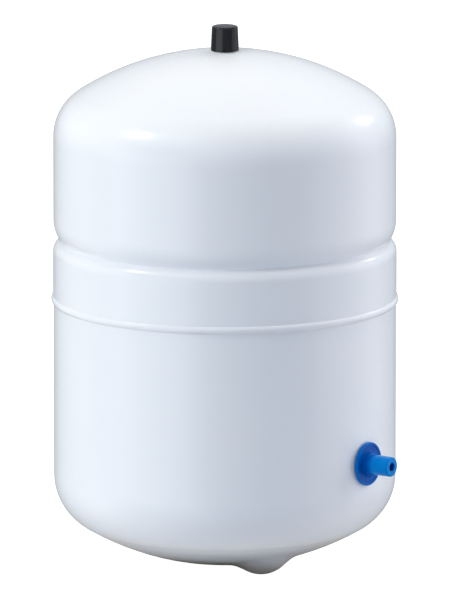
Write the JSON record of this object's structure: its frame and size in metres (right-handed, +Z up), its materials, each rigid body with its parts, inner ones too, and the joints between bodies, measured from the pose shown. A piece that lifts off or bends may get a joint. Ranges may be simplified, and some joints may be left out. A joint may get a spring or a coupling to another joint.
{
  "type": "reverse osmosis storage tank",
  "caption": "Upright domed steel pressure tank that stores purified water, with a rolled groove, a seam weld, a capped water port on top and a capped air valve low on the side.",
  "frame": {"origin": "centre of the overall box's base, on the vessel's axis at floor level", "axes": "+Z up along the vessel's axis from the floor to the water port; the viewer's side is -Y, and the air valve points 55.5 degrees from -Y towards +X"},
  "size_m": [0.2056, 0.2056, 0.3227],
  "materials": {
    "white_paint": "glossy",
    "plated_steel": "satin",
    "stainless": "satin",
    "spring_steel": "satin",
    "liner_plastic": "matte",
    "membrane_rubber": "matte",
    "seal_rubber": "matte",
    "black_plastic": "glossy",
    "blue_plastic": "glossy",
    "brass": "satin",
    "seat_plastic": "matte"
  },
  "bodies": {
    "tank": {"upper_shell": "white_paint", "lower_shell": "white_paint", "seam_weld": "white_paint", "port_collar": "white_paint", "clench_ring": "plated_steel", "liner": "liner_plastic", "diaphragm": "membrane_rubber", "water_port": "stainless", "port_seal": "seal_rubber", "valve_stem": "brass", "valve_gasket": "seal_rubber", "core_plug": "brass", "core_barrel": "brass", "core_gasket": "seat_plastic", "core_spring": "spring_steel"},
    "port_cap": {"port_cap": "black_plastic"},
    "valve_cap_seal": {"cap_seal": "seal_rubber"},
    "valve_cap": {"valve_cap": "blue_plastic"},
    "valve_pin": {"core_pin": "brass", "pin_seal": "seal_rubber"}
  },
  "joints": [
    {"name": "port_cap_lift", "type": "slide", "parent": "tank", "child": "port_cap", "axis": [0, 0, 1], "range_m": [0, 0.04]},
    {"name": "valve_cap_travel", "type": "slide", "parent": "tank", "child": "valve_cap_seal", "axis": [0.8241, -0.5664, 0], "range_m": [0, 0.0112]},
    {"name": "valve_cap_turn", "type": "hinge", "parent": "valve_cap_seal", "child": "valve_cap", "pos_m": [0.0853, -0.05862, 0.0707], "axis": [0.8241, -0.5664, 0], "range_deg": [0, 5040]},
    {"name": "valve_pin_press", "type": "slide", "parent": "tank", "child": "valve_pin", "axis": [-0.8241, 0.5664, 0], "range_m": [0, 0.0012], "stiffness_N_per_m": 600, "springref_m": -0.003, "deforming": ["core_spring"]}
  ],
  "couplings": [
    {"joint": "valve_cap_travel", "follows": "valve_cap_turn", "m_per_rad": 0.00012633}
  ]
}
